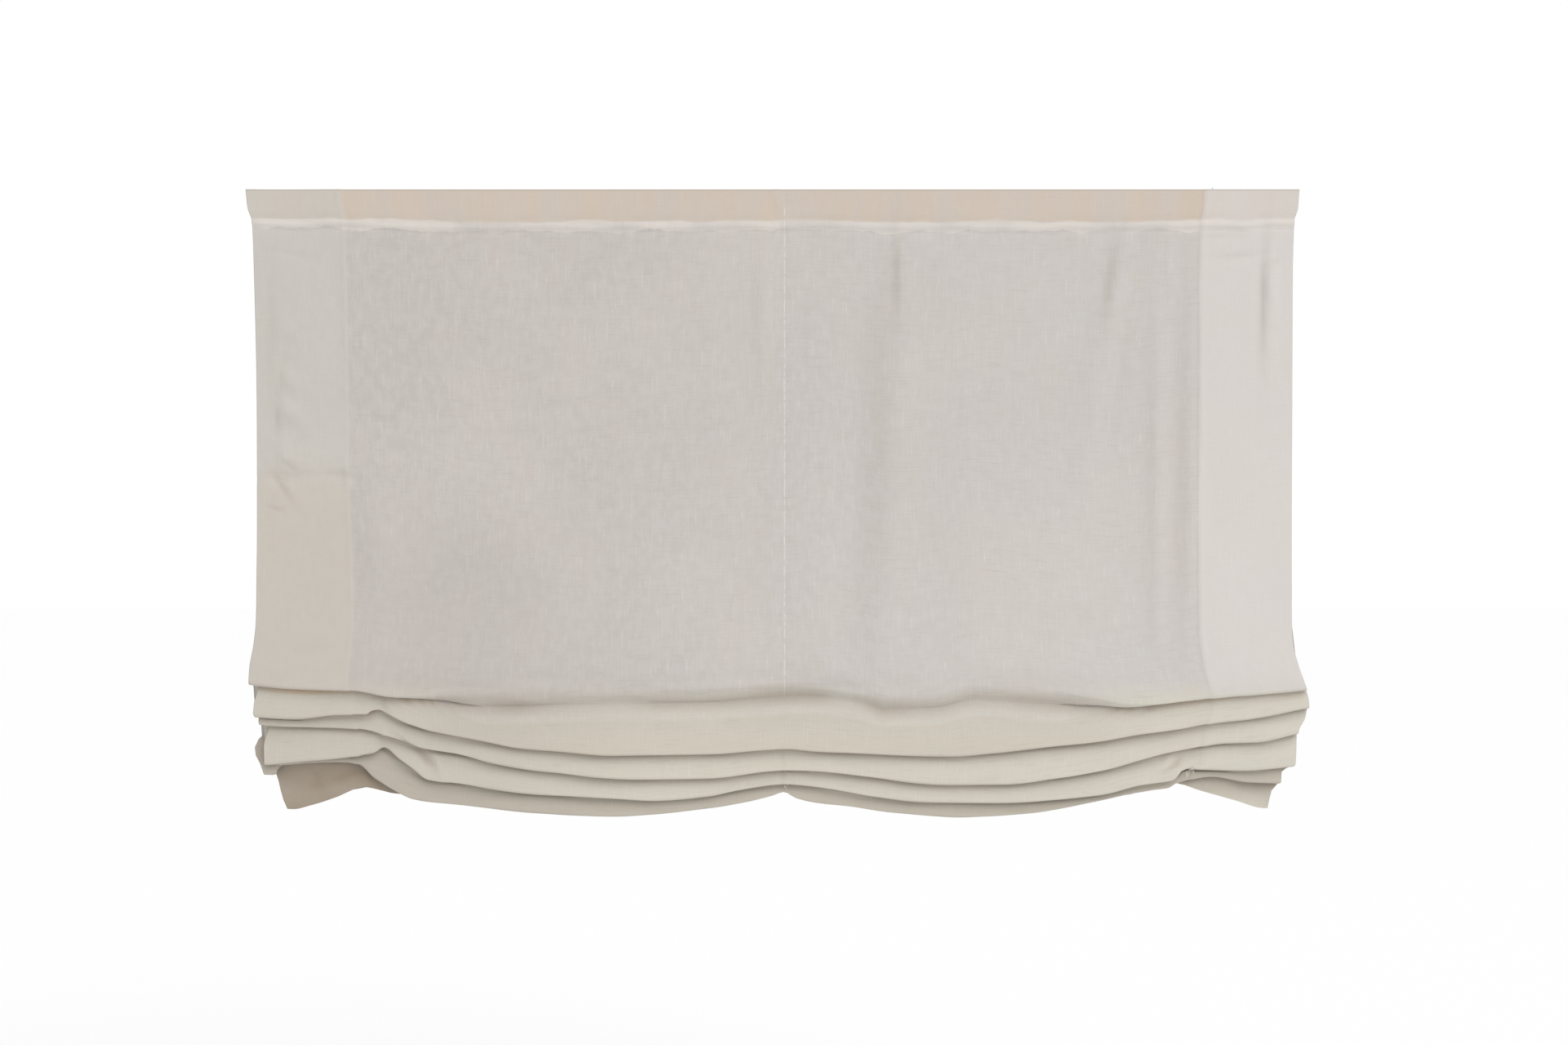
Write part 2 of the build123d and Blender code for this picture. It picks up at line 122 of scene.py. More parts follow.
# The cloth, in millimetres: x across, z up, and the room on the -y side
cloth = {
    "halfWidth": 600.0,
    "topZ": 14.0,
    "hemWidth": 108.0,          # turned side hems
    "hemGap": 1.5,              # between the face and the turned layer behind it
    "leftHemGrowth": 7.0,       # how much wider the left one gets between these two places down the cloth
    "leftHemGrows": (300.0, 520.0),
    "frontY": -48.9,            # face of the hanging cloth
    "layerPitch": 4.4,
    "foldCount": 5,
    "ringPitch": 22.0,          # from each fold's crest to the next
    "kneeRise": 25.0,           # where the folds lean back, above the first lip
    "leanStart": 210.0,         # where the hanging cloth starts to lean out, above the knee
    "leanRounding": 120.0,
    "kneeRounding": 8.0,
    "crestRounding": 1.9,
    "lipSwell": 1.7,            # how far each lip's lower edge stands out in front of its layer
    "liftLines": (-457.0, 13.0, 462.0),
    "seamDown": 46.0,           # the heading's seam, down the cloth
}

# rows down the cloth and columns across it
spacing = {
    "panelRows": 50,
    "panelShares": ((0, 0.1, 0.45, 1), (0, 0.13, 0.34, 1)),     # closest together about the heading seam
    "bendRows": 46,
    "leanRows": 16,
    "tailRows": 16,
    "faceRows": 4,              # on each lip's face; the straight legs inside the folds need one
    "lowestWaistRows": 12,
    "lipTurnRows": 4,
    "foldTurnRows": 3,
    "columnStep": 5.0,
    "fineStep": 2.7,            # where the cloth gathers by the outer lift lines
    "fineBands": ((-512.0, -368.0), (432.0, 502.0)),
    "edgeStep": 0.7,            # one narrow column at each side keeps the turned edge crisp
    "turnedEdge": 36.0,         # as close as the face for this far into the turned hem
    "turnedColumns": 5,
}

# lower edge of each lip, left to right, in millimetres across and up
lipEdges = {
    1: [(-600, -544), (-577, -548), (-519, -553), (-469, -555), (-436, -561), (-409, -564), (-365, -569),
        (-326, -572), (-195, -569), (-73, -567), (36, -560), (109, -570), (124, -575), (185, -573),
        (228, -564), (310, -569), (395, -575), (433, -571), (488, -564), (545, -558), (600, -553)],
    2: [(-600, -580), (-579, -584), (-534, -586), (-487, -582), (-468, -582), (-457, -582), (-451, -578),
        (-443, -577), (-433, -582), (-410, -593), (-382, -602), (-327, -612), (-286, -620), (-226, -625),
        (-180, -628), (-73, -627), (15, -621), (48, -624), (110, -627), (201, -629), (251, -625),
        (304, -619), (359, -614), (413, -605), (453, -600), (489, -593), (547, -585), (602, -574)],
    3: [(-600, -590), (-569, -594), (-522, -596), (-467, -599), (-433, -608), (-411, -615), (-395, -621),
        (-356, -628), (-314, -638), (-259, -647), (-150, -656), (-74, -655), (15, -646), (48, -647),
        (110, -654), (197, -662), (265, -661), (319, -655), (374, -646), (414, -635), (441, -628),
        (479, -620), (508, -615), (549, -613), (602, -601)],
    4: [(-600, -640), (-574, -639), (-538, -636), (-496, -633), (-452, -627), (-440, -620), (-424, -633),
        (-407, -645), (-390, -658), (-357, -662), (-274, -673), (-172, -679), (-135, -681), (-74, -676),
        (-28, -667), (15, -662), (64, -668), (110, -676), (171, -682), (254, -683), (320, -680),
        (375, -674), (416, -664), (452, -659), (469, -645), (529, -646), (577, -643), (602, -640)],
    5: [(-600, -651), (-567, -651), (-561, -641), (-487, -637), (-470, -640), (-453, -656), (-431, -670),
        (-409, -680), (-358, -687), (-275, -695), (-182, -700), (-74, -690), (-28, -683), (0, -676),
        (13, -672), (27, -679), (43, -683), (80, -688), (141, -696), (222, -700), (294, -696),
        (373, -682), (430, -670), (452, -666), (461, -661), (500, -654), (540, -660), (602, -662)],
}
tailEdge = [(-562, -688), (-557, -691), (-545, -692), (-527, -688), (-499, -679), (-465, -667), (-432, -674),
            (-380, -678), (0, -664), (400, -676), (452, -661), (488, -671), (527, -682), (559, -691),
            (600, -692)]

# the blind's sides, in millimetres down and across
leftOutline = [(-14, -600), (6, -598), (24, -592.6), (76, -590.7), (189, -588), (328, -586), (421, -583),
               (476, -581.8), (503, -583.5), (526, -586.6), (545, -587.5), (566, -584), (581, -583),
               (592, -580), (600, -575), (638, -574), (650, -566), (680, -557), (692, -552)]
rightOutline = [(-14, 600), (10, 598), (20, 594.4), (77, 592.5), (235, 591.6), (328, 589.7), (440, 586),
                (485, 584.7), (503, 585.6), (526, 590.6), (545, 597), (570, 604), (587, 600.6),
                (600, 594), (640, 591.5), (648, 578), (661, 577), (664, 571), (690, 564)]
# left ends that step in or out from the fold in front, by lip; the last one peeps out behind the others
leftEnds = {
    2: [(540, -576), (549, -577), (557, -580), (568, -583), (578, -584.5), (584, -583), (592, -579)],
    3: [(575, -578), (590, -580), (600, -577)],
    4: [(594, -570), (601, -571), (608, -573.5), (618, -575.5), (645, -575)],
    5: [(590, -572), (604, -575), (609, -581), (615, -586), (624, -588), (633, -586), (637, -583),
        (644, -580), (652, -577), (692, -552)],
}
lowestEndFrom = -640.5

# small creases: place across and up, heading in degrees, half length, half width, height (minus dips in), the
# lips they lie on (0 the hanging cloth, 6 the tail) and how much shade they hold
creases = (
    (-570.5, -324.6, -55, 21, 3.4, -2.4, 0, 0.28), (-569, -285, 80, 13, 3.5, 1.9, 0, 0.0),
    (-577, -252, 86, 17, 3.4, -2.2, 0, 0.24), (-578, -349, 4, 8, 2.4, -1.5, 0, 0.25),
    (-562, -300, -35, 11, 3.0, -1.6, 0, 0.2), (-583, -395, 8, 6, 2.4, -1.0, 0, 0.15),
    (-496, -312, -6, 20, 2.6, -1.9, 0, 0.2), (-531, -507, 4, 26, 4.0, -1.3, 0, 0.06),
    (-478, -452, 80, 30, 3.0, 0.8, 0, 0.0), (529, -64, 2, 24, 3.0, -1.1, 0, 0.05),
    (520, -40, 3, 30, 3.0, -0.9, 0, 0.04), (-554, -663, 12, 10, 2.6, -2.0, 6, 0.25),
    (-551, -677, 20, 10, 2.6, -2.0, 6, 0.25), (-556, -652, -10, 9, 2.6, -1.6, 6, 0.2),
    (-505, -651, 14, 34, 7.0, -2.6, 6, 0.2), (-470, -673, 30, 18, 5.0, -1.8, 6, 0.1),
    (552, -676, -15, 12, 3.0, -1.8, 6, 0.15), (505, -668, -22, 30, 6.0, 1.5, 6, -0.1),
    (-404, -632, -52, 14, 5.5, -3.2, 4, 0.42), (-388, -640, -76, 15, 4.2, 2.6, 4, -0.3),
    (-430, -612, -38, 16, 3.2, -1.8, 3, 0.2), (-446, -574, -60, 9, 3.0, -1.8, 2, 0.25),
    (-452, -600, 70, 12, 4.0, 1.4, 3, 0.0), (-470, -612, 80, 14, 4.5, 1.2, 4, 0.0),
    (462, -640, 62, 10, 3.4, -2.2, 4, 0.3), (452, -634, 58, 12, 4.0, 1.6, 4, -0.1),
    (474, -648, 20, 9, 3.0, -1.6, 5, 0.3), (30, -640, -50, 9, 3.0, -1.0, 4, 0.12),
    (13, -630, 90, 12, 2.6, -1.0, 3, 0.1), (13, -648, 90, 10, 2.6, -1.2, 4, 0.15),
    (-581, -150, 88, 70, 6.0, 0.0, 0, 0.14), (-572, -205, 78, 34, 4.0, -1.4, 0, 0.16),
    (141.5, -86, 90, 42, 4.5, 0.0, 0, 0.26), (389, -84, 79, 46, 7.0, 0.0, 0, 0.3),
    (125, -290, 87, 230, 16.0, 0.0, 0, 0.13), (470, -310, 89, 220, 11.0, 0.0, 0, 0.15),
    (566, -115, 88, 66, 3.6, -0.6, 0, 0.3), (574, -70, 20, 10, 3.0, -0.8, 0, 0.15),
    (404, -190, 82, 70, 9.0, 0.0, 0, 0.1), (-22, -120, 90, 50, 5.0, 0.0, 0, 0.08),
)


def layerY(layer):
    # layer 0 is the tail by the wall side; each next layer lies one pitch further front
    return cloth["frontY"] - layer * cloth["layerPitch"]


def foldOpenness(x):
    # the first fold is fully made at both sides and melts into the panel in the middle
    left, right = cloth["liftLines"][0], cloth["liftLines"][-1]
    return 1 - smoothStep(x, left + 15, left + 130) * (1 - smoothStep(x, right - 150, right - 15))


def outlineScale(x, z, leg):
    # pulls each side in or out to the outline, fading to nothing towards the middle
    half = cloth["halfWidth"]
    down = np.clip(-z, leftOutline[0][0], leftOutline[-1][0])
    left = smoothCurve(down, leftOutline)
    right = smoothCurve(down, rightOutline)
    for lip, end in leftEnds.items():
        own = (leg >= lip) & (leg < lip + 1)
        if lip == cloth["foldCount"]:
            own = own | ((leg == 0) & (z < lowestEndFrom))
        left = np.where(own, smoothCurve(down, end), left)
    sideShare = smoothStep(np.abs(x), 60, half)
    ratio = np.where(x < 0, -left / half, right / half)
    return 1 + (ratio - 1) * sideShare


def edgeHeight(x, leg, edge):
    # height of an edge at the place where the outline will pull each point to
    height = smoothCurve(x, edge)
    for _ in range(2):
        height = smoothCurve(x * outlineScale(x, height, leg + 0 * x), edge)
    return height


def clothCorners(x):
    # corner points (y, z) of the cloth's section at each x, how far each corner is rounded, and for the leg
    # that ends at each corner: the lip whose face it is, with a half added for its underside and a quarter
    # for the stretch above its face, 0 inside the folds and 6 on the tail
    lips = {k: edgeHeight(x, k, lipEdges[k]) for k in lipEdges}
    openness = foldOpenness(x)
    folds, kneeRound, crestRound = cloth["foldCount"], cloth["kneeRounding"], cloth["crestRounding"]
    knee = lips[1] + cloth["kneeRise"]
    corners, legs = [], []

    def corner(y, z, reach, leg=0):
        # one corner for every column, with the leg that ends at it
        corners.append((y + 0 * x, z + 0 * x, reach + 0 * x))
        legs.append(leg)

    corner(cloth["frontY"], cloth["topZ"], 0.0)
    corner(cloth["frontY"], knee + cloth["leanStart"], cloth["leanRounding"], 0.25)
    # the first fold is whole at the sides, and in the middle only a soft step back to a shallow valley
    front = 2 * folds
    crest = knee + (folds - 1) * cloth["ringPitch"]
    whole = ((layerY(front) + 0.5, knee, 14.0), (layerY(front) - 1.5, lips[1], 3.0),
             (layerY(front - 1), lips[1], 2.2), (layerY(front - 1), knee, kneeRound),
             (layerY(1), crest, crestRound), (layerY(-0.2), crest, crestRound),
             (layerY(front - 2), knee - 3, kneeRound))
    melted = ((layerY(front), lips[1] + 34, 14.0), (layerY(front - 0.4), lips[1] + 13, 10.0),
              (layerY(front - 2.3), lips[1] + 1, 5.0), (layerY(front - 2.6), lips[1] - 1, 2.0),
              (layerY(front - 2.6), lips[1] - 3, crestRound), (layerY(front - 2.5), lips[1] - 5, crestRound),
              (layerY(front - 2.3), lips[1] - 20, 15.0))
    for side, middle, leg in zip(whole, melted, (0.25, 1, 1.5, 0, 0, 0, 0)):
        corner(*(a * openness + b * (1 - openness) for a, b in zip(side, middle)), leg)
    for fold in range(2, folds + 1):
        front = 2 * (folds - fold + 1)
        crest = knee + (folds - fold) * cloth["ringPitch"]
        gap = lips[fold - 1] - lips[fold]
        swell = cloth["lipSwell"] * smoothStep(gap, 4, 30)
        waist = np.maximum(lips[fold - 1] - 2, lips[fold] + 6)
        last = fold == folds
        if fold > 2:
            corner(layerY(front) + 0.3, waist, 3.0, fold + 0.25)
            corner(layerY(front) - 0.8 * swell, lips[fold] + 0.5 * np.maximum(gap, 8), 9.0, fold)
        corner(layerY(front) - swell, lips[fold], 6.0, fold)
        corner(layerY(front - 1), lips[fold], 3.0, fold + 0.5)
        if not last:
            corner(layerY(front - 1), knee, kneeRound)
        corner(layerY(1), crest, crestRound)
        corner(layerY(0 if last else -0.2), crest, crestRound)
        if not last:
            corner(layerY(front - 2), knee, kneeRound)
    corner(layerY(0), edgeHeight(x, 6, tailEdge), 0.0, 6)
    return np.array(corners), legs


def sectionRows(corners, legs):
    # straight legs joined by rounded corners (a quadratic curve from leg to leg), as rows of points,
    # and the leg that each row belongs to
    points = corners[:, :2]
    leg = np.diff(points, axis=0)
    length = np.linalg.norm(leg, axis=1, keepdims=True) + 1e-9
    unit = leg / length
    last = len(points) - 1
    longLegs = {1: spacing["panelRows"], 2: spacing["leanRows"], last: spacing["tailRows"]}
    rows, rowLegs = [], []
    start = points[0]
    for i in range(1, last + 1):
        end = points[i]
        if i < last:
            reach = np.minimum(corners[i, 2], 0.48 * np.minimum(length[i - 1, 0], length[i, 0]))
            end = points[i] - unit[i - 1] * reach
        face = legs[i] >= 1 and legs[i] % 0.5 == 0
        legRows = longLegs.get(i, spacing["faceRows"] if face else 1)
        legRows = spacing["lowestWaistRows"] if legs[i] == cloth["foldCount"] + 0.25 else legRows
        shares = np.linspace(0, 1, legRows, endpoint=False)
        if i == 1:
            shares = np.interp(shares, *spacing["panelShares"])
        for t in shares:
            rows.append(start + (end - start) * t)
            rowLegs.append(legs[i])
        if i < last:
            after = points[i] + unit[i] * reach
            turnRows = spacing["bendRows" if i == 1 else "lipTurnRows" if face else "foldTurnRows"]
            for t in np.linspace(0, 1, turnRows, endpoint=False):
                rows.append((1 - t) ** 2 * end + 2 * t * (1 - t) * points[i] + t * t * after)
                rowLegs.append(legs[i] if t < 0.6 else legs[i + 1])
            start = after
    rows.append(points[-1])
    rowLegs.append(legs[-1])
    return np.array(rows), np.array(rowLegs)


def creaseField(x, z, leg, column):
    # sum of the small creases: each is a rounded ridge or dip, long one way and narrow the other
    total = np.zeros(np.broadcast(x, z).shape)
    for crease in creases:
        placeX, placeZ, heading, length, width, onLip = *crease[:5], crease[6]
        turn = math.radians(heading)
        along = (x - placeX) * math.cos(turn) + (z - placeZ) * math.sin(turn)
        aside = -(x - placeX) * math.sin(turn) + (z - placeZ) * math.cos(turn)
        here = leg == 0.25 if onLip == 0 else (leg >= onLip) & (leg < onLip + 0.3)
        total += crease[column] * here * np.exp(-(along / length) ** 2 - (aside / width) ** 2)
    return total


# shade kept by the folds: 0 none, 1 the dark of a crease
shade = {
    "lineDepth": 2.2,           # how fast it fades below the lip above
    "lowestLip": 0.42,          # turns under and away from the light
    "meltedLine": 0.5,
    "meltedDepth": 8.0,
    "meltedFace": 0.14,
    "underside": 0.5,
    "waist": 0.6,
    "valley": 0.6,              # the soft band where the first fold melts into the panel
    "valleyDepth": 6.5,
    "leftEar": 1.05,
    "rightEar": 0.2,
    "earPatches": 0.15,
    "most": 1.45,
    "lineWarmth": 0.16,         # warm light in the thin lines between the lips
    "stackTop": -535.0,         # the creamy tone of the stack, from nothing at the top to full
    "stackFull": -572.0,
    "middlePaler": 0.5,
}


def creaseShade(x, z, rowLegs):
    # how deep each point sits under the lip above it: 1 in the crease, falling away below it
    lips = [edgeHeight(x[0], k, lipEdges[k]) for k in lipEdges]
    folds = cloth["foldCount"]
    openness = foldOpenness(x[0])
    held = np.zeros(z.shape)
    for fold in range(2, folds + 1):
        depth = np.maximum(np.min(lips[:fold - 1], axis=0) - z, 0)
        value = np.exp(-depth / shade["lineDepth"])
        if fold == folds:
            value = np.maximum(value, shade["lowestLip"])
        if fold == 2:
            melted = shade["meltedLine"] * np.exp(-(depth / shade["meltedDepth"]) ** 2) + shade["meltedFace"]
            value = value * openness + melted * (1 - openness)
        face = rowLegs == fold
        held[face] = value[face]
        held[rowLegs == fold + 0.5] = shade["underside"]
        held[rowLegs == fold + 0.25] = shade["waist"]
    # the first fold's soft, patchy band about its valley in the middle
    leg = rowLegs[:, None]
    patchy = 0.75 + 0.45 * softNoise(x, 0 * x, 42, 10, 31)
    depth = (z - lips[0] + 1) / (shade["valleyDepth"] + 2 * patchy)
    valley = shade["valley"] * patchy * np.exp(-depth ** 2)
    inValley = (leg <= 1.5) & ((leg > 0) | (z > lips[0] - 14)) & (openness < 0.5)
    held = np.where(inValley, valley * (1 - openness), held)
    # the ears hang back in the dark, most of all the left one
    below = np.min(lips, axis=0) - z
    ear = np.where(x < 0, shade["leftEar"], shade["rightEar"])
    ear = ear + shade["earPatches"] * softNoise(x, z, 30, 14, 33)
    ear = ear + (1 - ear) * np.exp(-np.maximum(below, 0) / 10)
    ear = ear * smoothStep(np.abs(x), 380, 450) * smoothStep(below, -60, -8)
    held = np.where(leg == 6, ear, held) + creaseField(x, z, leg + 0 * z, 7)
    return np.clip(held, 0, shade["most"])


# relief of the hanging cloth, in millimetres towards the room
hangingNoise = ((2.4, 190, 460, 3), (0.7, 60, 200, 4))      # height, size across and along, seed
# soft folds: place across at the top, lean, half width, height out
tallFolds = ((143, 0.05, 26, 3.6), (107, 0.05, 22, -3.2))
# the same, with the middle and half of their length before the height; the free ones fade out by themselves
shortFolds = ((444, 0, 12, -310, 230, 4.4), (482, 0, 9, -330, 210, 1.6), (-10, 0, 8, -130, 60, 1.8))
freeFolds = ((394, 0.1, 20, -170, 130, 3.4), (418, 0.1, 20, -170, 130, -2.0))
# creases with one sharp side: where that side starts and ends across at the top, its lean, then place across,
# half width, middle and half of the length, slope of the ends, height out
sharpCreases = ((136, 143, 0, 143, 16, -85.36, 50, 0.18, 1.7),
                (387.6, 396.6, 0.06, 392, 22, -120, 95, 0, 2.2),
                (449, 455, 0, 456, 12, -70, 50, 0, 1.4))


def shortRelief(x, z, folds):
    # sum of short folds: a hill across times a hill down the cloth
    return sum(height * bump(x, place + lean * z, width) * bump(z, middle, length)
               for place, lean, width, middle, length, height in folds)


def panelRelief(x, z, panel):
    # broad unevenness, then each fold as a hill across times a hill or a smooth start down the cloth
    relief = sum(height * softNoise(x, z, wide, tall, seed) for height, wide, tall, seed in hangingNoise)
    relief = relief * smoothStep(-z, 10, 90)
    for place, lean, width, height in tallFolds:
        relief += height * bump(x, place + lean * z, width) * smoothStep(-z, 40, 200)
    relief += shortRelief(x, z, shortFolds)
    for low, high, lean, place, width, middle, length, slope, height in sharpCreases:
        step = smoothStep(x - lean * z, low, high)
        relief += height * step * bump(x, place, width) * bump(z + slope * (x - place), middle, length)
    relief -= 0.7 * bump(x, cloth["liftLines"][1], 3.5)     # the middle tape's stitching draws the cloth in
    return relief * panel + shortRelief(x, z, freeFolds)


def headingRelief(x, v):
    # puckers along the seam, a raised turning with a groove on each side of it, and one ridge across
    line = cloth["seamDown"] + 1.8 * softNoise(x, 0 * x, 34, 10, 21)
    puckers = 0.8 * softNoise(x, 0 * x, 17, 10, 7) + 0.9 * softNoise(x, 0 * x, 43, 10, 8)
    relief = bump(v, cloth["seamDown"] - 2, 12) * puckers
    for below, width, height in ((-5, 3.6, 1.5), (-10.5, 2.0, -1.0), (1, 2.2, -1.3)):
        relief = relief + height * bump(v, line + below, width)
    return relief + 1.4 * bump(x, 4 + 13 * smoothStep(v, 5, 45), 3.2) * (1 - smoothStep(v, 44, 52))


def hemRelief(x, z, u, v, panel):
    # hems stand out by their extra layer, with a ridge and faint puckers at the inner edge; the left one
    # grows a little wider towards the folds
    hemEdge = cloth["halfWidth"] - cloth["hemWidth"]
    outward = np.abs(u) + cloth["leftHemGrowth"] * smoothStep(v, *cloth["leftHemGrows"]) * (u < 0)
    relief = 0.9 * smoothStep(outward, hemEdge - 2.5, hemEdge + 1.5) * (np.abs(u) <= cloth["halfWidth"])
    relief += 0.7 * bump(outward, hemEdge + 3, 3) * panel * (1 + softNoise(x, z, 30, 16, 9))
    relief += 1.5 * panel * smoothStep(np.abs(x), 486, 510) * softNoise(x, z, 62, 85, 12)
    # left hem: small slanting puckers and one crease across
    puckers = softNoise(x, z + 0.35 * x, 46, 19, 10)
    relief += 2.8 * panel * bump(x, -566, 19) * bump(z, -250, 105) * puckers
    relief -= 1.5 * bump(z, -313 + 0.04 * (x + 540), 4.0) * smoothStep(-x, 486, 505) * panel
    relief -= 0.8 * bump(z, -60 - 0.25 * (x + 560), 4) * bump(x, -550, 35)
    # right hem: a long soft ridge with a groove beside it
    ripple = (1 + 0.6 * softNoise(x, z, 40, 15, 17)) * bump(z, -110, 75) * panel
    relief += ripple * (2.6 * bump(x, 574, 8) - 1.6 * bump(x, 562, 5))
    return relief - 0.9 * bump(z, -62 + 0.1 * (x - 540), 4) * bump(x, 545, 30)


def stackRelief(x, z, panel, leg):
    # uneven swelling along each fold, and ears that wave in and out
    along = z + 31 * leg
    swelling = 0.9 * softNoise(x, along, 95, 13, 11) + 0.35 * softNoise(x, along, 30, 8, 13)
    waves = 1.4 * softNoise(x, z + 0.35 * x, 55, 12, 14) + 2.6 * softNoise(x, z, 44, 30, 15)
    return (1 - panel) * (leg >= 1) * swelling + (leg >= 6) * smoothStep(np.abs(x), 470, 560) * waves


def clothRelief(x, z, u, v, panel, leg):
    # how far the cloth stands out of its plain section, towards the room, in millimetres
    relief = panelRelief(x, z, panel) + headingRelief(x, v) + hemRelief(x, z, u, v, panel)
    relief = relief + stackRelief(x, z, panel, leg) + creaseField(x, z, leg, 5)
    # the cloth never dips onto the rings behind it
    nearRings = sum(bump(x, line, 16) for line in cloth["liftLines"])
    return relief + np.maximum(-0.4 - relief, 0) * nearRings * (panel > 0)


def clothColumns():
    # even columns across the face, closer together in the fine bands
    half = cloth["halfWidth"]
    stops = [-half] + [b for band in spacing["fineBands"] for b in band] + [half]
    steps = [spacing["fineStep" if i % 2 else "columnStep"] for i in range(len(stops) - 1)]
    parts = [np.linspace(a, b, max(2, round((b - a) / s)), endpoint=False)
             for a, b, s in zip(stops[:-1], stops[1:], steps)]
    narrow = half - spacing["edgeStep"]
    return np.concatenate([[-half, -narrow], parts[0][1:]] + parts[1:] + [[narrow, half]])


def clothSurface():
    # grid of the whole sheet: columns across with the turned side hems, rows down the folded length
    half, gap = cloth["halfWidth"], cloth["hemGap"]
    near = np.arange(0, spacing["turnedEdge"], spacing["columnStep"])
    far = np.linspace(near[-1], cloth["hemWidth"] - 1, spacing["turnedColumns"])
    turned = np.concatenate((near, far[1:]))
    across = np.concatenate((-half - turned[:0:-1] - gap, clothColumns(), half + turned[1:] + gap))
    x = np.where(across < -half, -2 * half - across, np.where(across > half, 2 * half - across, across))
    behind = np.abs(across) > half
    rows, rowLegs = sectionRows(*clothCorners(x))
    y, z = rows[:, 0], rows[:, 1]
    # distance down the cloth, as the average over the width
    step = np.hypot(np.diff(y, axis=0), np.diff(z, axis=0))
    down = np.concatenate((np.zeros((1, len(x))), np.cumsum(step, axis=0)))
    u = np.broadcast_to(across, y.shape)
    v = np.broadcast_to(down.mean(axis=1, keepdims=True), y.shape)
    x = np.broadcast_to(x, y.shape)
    # unit normal of the section, towards the back of the cloth
    dy, dz = np.gradient(y, axis=0), np.gradient(z, axis=0)
    size = np.hypot(dy, dz) + 1e-9
    normalY, normalZ = -dz / size, dy / size
    crease = creaseShade(x, z, rowLegs)
    # warm light that comes through the cloth at the outer ends of the first fold, and in the thin lines
    glow = crease * (rowLegs == 2)[:, None] * (bump(x, -545, 45) + 0.25 * smoothStep(x, 430, 500))
    glow = glow + shade["lineWarmth"] * np.minimum(crease, 1) * ((rowLegs >= 2) & (rowLegs < 5))[:, None]
    leg = rowLegs[:, None] + 0 * z
    stack = 1 - smoothStep(z, shade["stackFull"], shade["stackTop"]) * (leg > 0) * (leg <= 1)
    paler = shade["middlePaler"] * (1 - foldOpenness(x)) * smoothStep(z, -622, -575)
    stack = np.where(leg <= 2, stack * (1 - paler), stack)
    panel = smoothStep(z, -545, -490) * (rowLegs == 0.25)[:, None]
    lift = np.where(behind, gap, 0) - clothRelief(x, z, u, v, panel, leg)
    y = y + normalY * lift
    z = z + normalZ * lift
    return (x * outlineScale(x, z, leg), y, z, u, v), {"crease": crease, "glow": glow, "stack": stack}


def gridMesh(name, x, y, z, u, v, attributes):
    # a grid of points in millimetres made into one mesh in metres, with its flat cloth as UV
    rows, columns = x.shape
    points = np.stack((x, y, z), -1).reshape(-1, 3) * mm
    index = np.arange(rows * columns).reshape(rows, columns)
    quads = np.stack((index[:-1, :-1], index[1:, :-1], index[1:, 1:], index[:-1, 1:]), -1).reshape(-1, 4)
    mesh = bpy.data.meshes.new(name)
    mesh.from_pydata(points.tolist(), [], quads.tolist())
    flat = np.stack((u, v), -1).reshape(-1, 2) * mm
    layer = mesh.uv_layers.new(name="flatCloth")
    layer.data.foreach_set("uv", flat[quads.reshape(-1)].reshape(-1).astype(np.float32))
    for title, values in attributes.items():
        data = mesh.attributes.new(title, "FLOAT", "POINT").data
        data.foreach_set("value", np.broadcast_to(values, x.shape).reshape(-1).astype(np.float32))
    mesh.polygons.foreach_set("use_smooth", np.ones(len(quads), bool))
    mesh.update()
    print(name, 2 * len(quads), "triangles")
    piece = bpy.data.objects.new(name, mesh)
    scene.collection.objects.link(piece)
    return piece


# Undyed linen. Noises: how many to the metre across and down the cloth, and detail. Threads lie 0.7 mm apart,
# and are drawn at 1.9 mm so that they show.
linenNoises = {
    "warp": (560, 30, 2.0), "weft": (30, 560, 2.0), "slub": (420, 34, 3.0), "slubAcross": (34, 420, 3.0),
    "mottle": (95, 70, 3.0), "broad": (5, 4, 2.0), "patch": (15, 11, 2.0), "grain": (30, 9, 2.0),
    "lathPatch": (22, 5, 2.0), "turning": (26, 1, 2.0), "turningTop": (17, 1.5, 2.0),
    "turningPatch": (11, 1, 2.0), "dash": (1, 110, 2.0),
}
